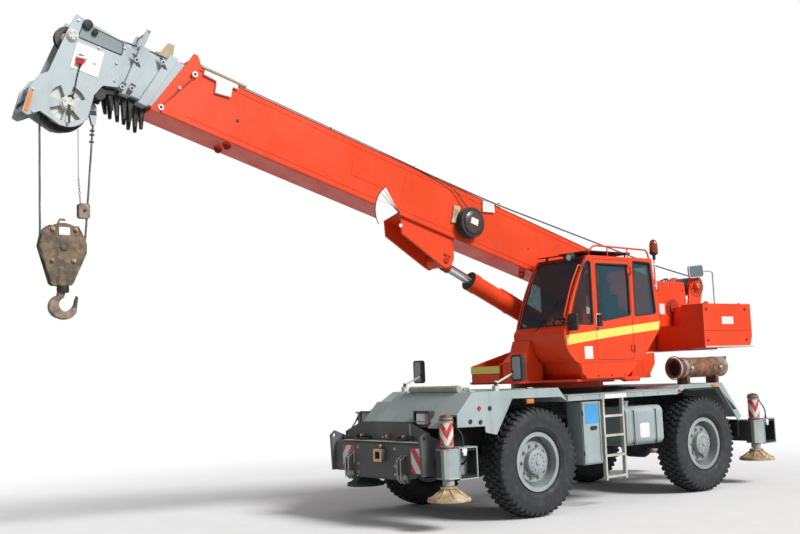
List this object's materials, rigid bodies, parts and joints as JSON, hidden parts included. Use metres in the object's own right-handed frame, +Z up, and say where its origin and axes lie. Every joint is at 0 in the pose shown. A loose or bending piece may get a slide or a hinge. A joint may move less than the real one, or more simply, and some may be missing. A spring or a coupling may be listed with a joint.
{
  "type": "mobile crane",
  "caption": "Two-axle rough-terrain mobile crane with telescopic boom, side cab, counterweight and four outriggers, hook hanging from the boom head.",
  "frame": {"origin": "middle of the bounding box on the ground under the tyres", "axes": "+X forwards along the boom, +Y to the machine's left, +Z up"},
  "size_m": [11.1048, 2.7898, 5.6046],
  "materials": {
    "red_paint": "satin",
    "grey_paint": "satin",
    "dark_steel": "matt",
    "tyre": "matt",
    "chrome": "polished",
    "rust_steel": "rusty",
    "white_paint": "satin",
    "rope": "greased",
    "glass": "clear",
    "seat_cloth": "woven"
  },
  "bodies": {
    "carrier": {"chassis_frame": "dark_steel", "front_deck": "grey_paint", "rear_deck": "grey_paint", "side_decks": "grey_paint", "front_bumper": "dark_steel", "engine_block": "dark_steel", "tool_box": "grey_paint", "ladders": "white_paint", "fuel_tank": "grey_paint", "hydraulic_tank": "grey_paint", "front_axle": "dark_steel", "rear_axle": "dark_steel", "silencer": "rust_steel", "mirrors": "dark_steel"},
    "superstructure": {"slew_platform": "red_paint", "cab_shell": "red_paint", "operator_seat": "seat_cloth", "counterweight": "red_paint", "hoist_winch": "dark_steel", "cab_sill": "red_paint", "cab_windows": "glass", "cab_apron": "red_paint"},
    "cab_door": {"cab_door": "red_paint", "door_glass": "glass"},
    "lift_barrel": {"lift_barrel": "red_paint"},
    "lift_rod": {"lift_rod": "chrome"},
    "boom_base": {"boom_base": "red_paint", "cable_reel": "dark_steel"},
    "boom_section_2": {"boom_section_2": "red_paint"},
    "boom_section_3": {"boom_section_3": "red_paint"},
    "boom_head": {"boom_head": "red_paint", "head_sheaves": "dark_steel"},
    "hook_group": {"hoist_ropes": "rope", "hook_block": "red_paint"},
    "hook": {"hook": "red_paint"},
    "knuckle_front_left": {"knuckle_front_left": "dark_steel"},
    "wheel_front_left": {"rim_front_left": "grey_paint", "tyre_front_left": "tyre"},
    "knuckle_front_right": {"knuckle_front_right": "dark_steel"},
    "wheel_front_right": {"rim_front_right": "grey_paint", "tyre_front_right": "tyre"},
    "knuckle_rear_left": {"knuckle_rear_left": "dark_steel"},
    "wheel_rear_left": {"rim_rear_left": "grey_paint", "tyre_rear_left": "tyre"},
    "knuckle_rear_right": {"knuckle_rear_right": "dark_steel"},
    "wheel_rear_right": {"rim_rear_right": "grey_paint", "tyre_rear_right": "tyre"},
    "outrigger_beam_front_left": {"outrigger_beam_front_left": "grey_paint"},
    "outrigger_foot_front_left": {"outrigger_foot_front_left": "rust_steel"},
    "outrigger_beam_front_right": {"outrigger_beam_front_right": "grey_paint"},
    "outrigger_foot_front_right": {"outrigger_foot_front_right": "rust_steel"},
    "outrigger_beam_rear_left": {"outrigger_beam_rear_left": "grey_paint"},
    "outrigger_foot_rear_left": {"outrigger_foot_rear_left": "rust_steel"},
    "outrigger_beam_rear_right": {"outrigger_beam_rear_right": "grey_paint"},
    "outrigger_foot_rear_right": {"outrigger_foot_rear_right": "rust_steel"}
  },
  "joints": [
    {"name": "slew", "type": "hinge", "parent": "carrier", "child": "superstructure", "pos_m": [-1.933, 0, 1.51], "axis": [0, 0, 1], "continuous": true},
    {"name": "steer_front_left", "type": "hinge", "parent": "carrier", "child": "knuckle_front_left", "pos_m": [-0.313, 0.8, 0.66], "axis": [0, 0, 1], "range_deg": [-25, 25]},
    {"name": "wheel_spin_front_left", "type": "hinge", "parent": "knuckle_front_left", "child": "wheel_front_left", "pos_m": [-0.313, 1.0525, 0.66], "axis": [0, 1, 0], "continuous": true},
    {"name": "steer_front_right", "type": "hinge", "parent": "carrier", "child": "knuckle_front_right", "pos_m": [-0.313, -0.8, 0.66], "axis": [0, 0, 1], "range_deg": [-25, 25]},
    {"name": "wheel_spin_front_right", "type": "hinge", "parent": "knuckle_front_right", "child": "wheel_front_right", "pos_m": [-0.313, -1.0525, 0.66], "axis": [0, 1, 0], "continuous": true},
    {"name": "steer_rear_left", "type": "hinge", "parent": "carrier", "child": "knuckle_rear_left", "pos_m": [-3.553, 0.8, 0.66], "axis": [0, 0, 1], "range_deg": [-22, 22]},
    {"name": "wheel_spin_rear_left", "type": "hinge", "parent": "knuckle_rear_left", "child": "wheel_rear_left", "pos_m": [-3.553, 1.0525, 0.66], "axis": [0, 1, 0], "continuous": true},
    {"name": "steer_rear_right", "type": "hinge", "parent": "carrier", "child": "knuckle_rear_right", "pos_m": [-3.553, -0.8, 0.66], "axis": [0, 0, 1], "range_deg": [-22, 22]},
    {"name": "wheel_spin_rear_right", "type": "hinge", "parent": "knuckle_rear_right", "child": "wheel_rear_right", "pos_m": [-3.553, -1.0525, 0.66], "axis": [0, 1, 0], "continuous": true},
    {"name": "beam_slide_front_left", "type": "slide", "parent": "carrier", "child": "outrigger_beam_front_left", "axis": [0, 1, 0], "range_m": [0, 1.45]},
    {"name": "jack_front_left", "type": "slide", "parent": "outrigger_beam_front_left", "child": "outrigger_foot_front_left", "axis": [0, 0, -1], "range_m": [0, 0.48]},
    {"name": "beam_slide_front_right", "type": "slide", "parent": "carrier", "child": "outrigger_beam_front_right", "axis": [0, -1, 0], "range_m": [0, 1.45]},
    {"name": "jack_front_right", "type": "slide", "parent": "outrigger_beam_front_right", "child": "outrigger_foot_front_right", "axis": [0, 0, -1], "range_m": [0, 0.48]},
    {"name": "beam_slide_rear_left", "type": "slide", "parent": "carrier", "child": "outrigger_beam_rear_left", "axis": [0, 1, 0], "range_m": [0, 1.45]},
    {"name": "jack_rear_left", "type": "slide", "parent": "outrigger_beam_rear_left", "child": "outrigger_foot_rear_left", "axis": [0, 0, -1], "range_m": [0, 0.48]},
    {"name": "beam_slide_rear_right", "type": "slide", "parent": "carrier", "child": "outrigger_beam_rear_right", "axis": [0, -1, 0], "range_m": [0, 1.45]},
    {"name": "jack_rear_right", "type": "slide", "parent": "outrigger_beam_rear_right", "child": "outrigger_foot_rear_right", "axis": [0, 0, -1], "range_m": [0, 0.48]},
    {"name": "cab_door_hinge", "type": "hinge", "parent": "superstructure", "child": "cab_door", "pos_m": [-2.159, 1.2563, 2.5], "axis": [0, 0, 1], "range_deg": [0, 90]},
    {"name": "boom_luff", "type": "hinge", "parent": "superstructure", "child": "boom_base", "pos_m": [-4.263, 0, 2.62], "axis": [0, -1, 0], "range_deg": [-16, 64]},
    {"name": "lift_swing", "type": "hinge", "parent": "superstructure", "child": "lift_barrel", "pos_m": [-3.233, 0, 1.69], "axis": [0, -1, 0], "range_deg": [-17, 66]},
    {"name": "lift_rod_slide", "type": "slide", "parent": "lift_barrel", "child": "lift_rod", "axis": [0.9111, 0, 0.4123], "range_m": [-0.36, 1.41]},
    {"name": "telescope_2", "type": "slide", "parent": "boom_base", "child": "boom_section_2", "axis": [0.9613, 0, 0.2756], "range_m": [0, 6.1]},
    {"name": "telescope_3", "type": "slide", "parent": "boom_section_2", "child": "boom_section_3", "axis": [0.9613, 0, 0.2756], "range_m": [0, 6.1]},
    {"name": "telescope_4", "type": "slide", "parent": "boom_section_3", "child": "boom_head", "axis": [0.9613, 0, 0.2756], "range_m": [0, 6.1]},
    {"name": "hook_hang", "type": "hinge", "parent": "boom_head", "child": "hook_group", "pos_m": [5.06721, 0, 4.64521], "axis": [0, -1, 0], "range_deg": [-66, 18]},
    {"name": "hook_swivel", "type": "hinge", "parent": "hook_group", "child": "hook", "pos_m": [5.06721, 0, 2.7], "axis": [0, 0, 1], "continuous": true}
  ],
  "couplings": [
    {"joint": "steer_front_right", "follows": "steer_front_left", "ratio": 1},
    {"joint": "steer_rear_right", "follows": "steer_rear_left", "ratio": 1},
    {"joint": "lift_swing", "follows": "boom_luff", "ratio": 0.99},
    {"joint": "lift_rod_slide", "follows": "boom_luff", "m_per_rad": 1.18},
    {"joint": "telescope_3", "follows": "telescope_2", "ratio": 1},
    {"joint": "telescope_4", "follows": "telescope_2", "ratio": 1},
    {"joint": "hook_hang", "follows": "boom_luff", "ratio": -1}
  ]
}
